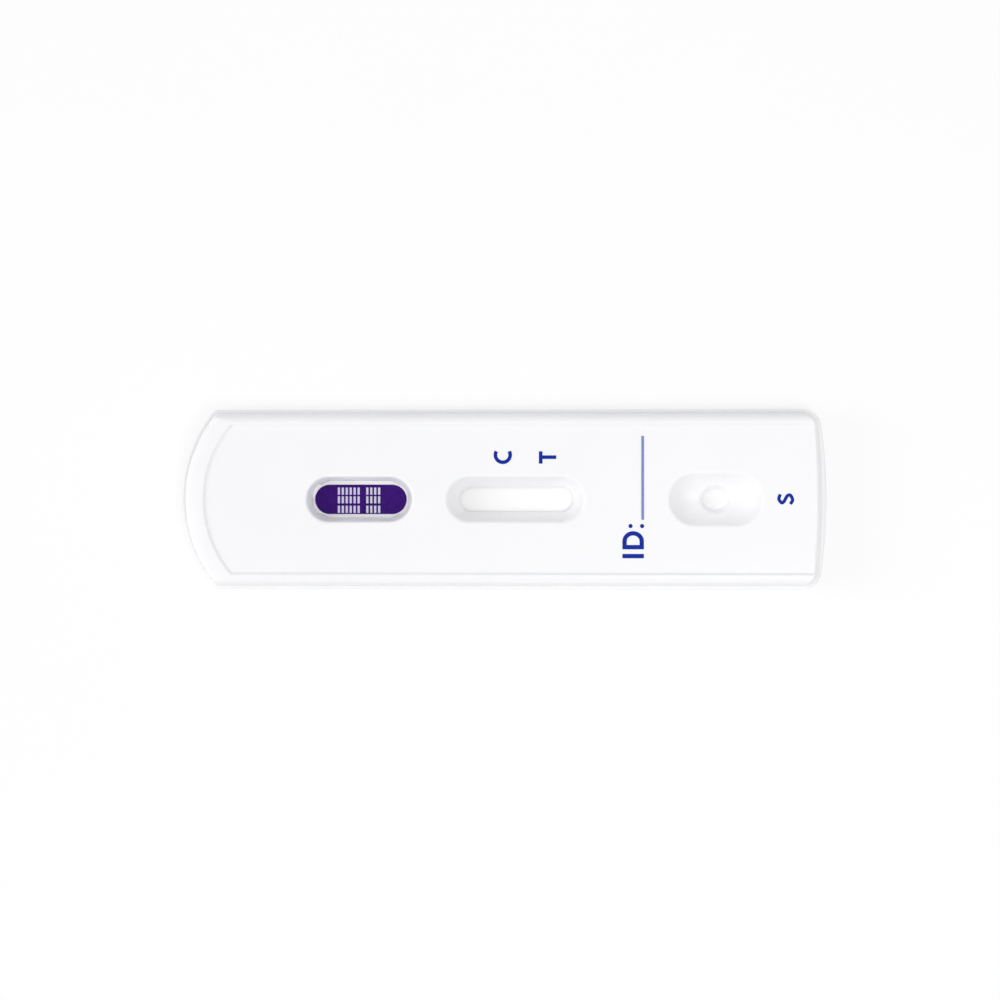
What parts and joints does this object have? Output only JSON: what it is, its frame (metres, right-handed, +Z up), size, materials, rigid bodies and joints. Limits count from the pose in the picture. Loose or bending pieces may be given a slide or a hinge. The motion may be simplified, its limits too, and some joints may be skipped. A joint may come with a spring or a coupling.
{
  "type": "lateral flow cassette",
  "caption": "Flat plastic test cassette with a rounded thumb grip, a label window, a read window and a dished sample well over a test strip.",
  "frame": {"origin": "middle of the flat underside", "axes": "+X from the thumb grip to the sample well, +Y across the body, +Z up out of the deck"},
  "size_m": [0.07, 0.0196, 0.005],
  "materials": {
    "upper_plastic": "white polystyrene, fine satin gloss",
    "lower_plastic": "white polystyrene, fine satin gloss",
    "card_plastic": "white adhesive card",
    "nitrocellulose": "matt white membrane",
    "absorbent_fibre": "matt pressed fibre",
    "purple_film": "printed purple film, satin",
    "conjugate_fibre": "matt glass fibre",
    "sample_fibre": "matt white fibre"
  },
  "bodies": {
    "root": {"top_shell": "upper_plastic", "bottom_shell": "lower_plastic", "backing_card": "card_plastic", "membrane": "nitrocellulose", "absorbent_pad": "absorbent_fibre", "cover_tape": "purple_film", "conjugate_pad": "conjugate_fibre", "sample_pad": "sample_fibre"}
  },
  "joints": []
}
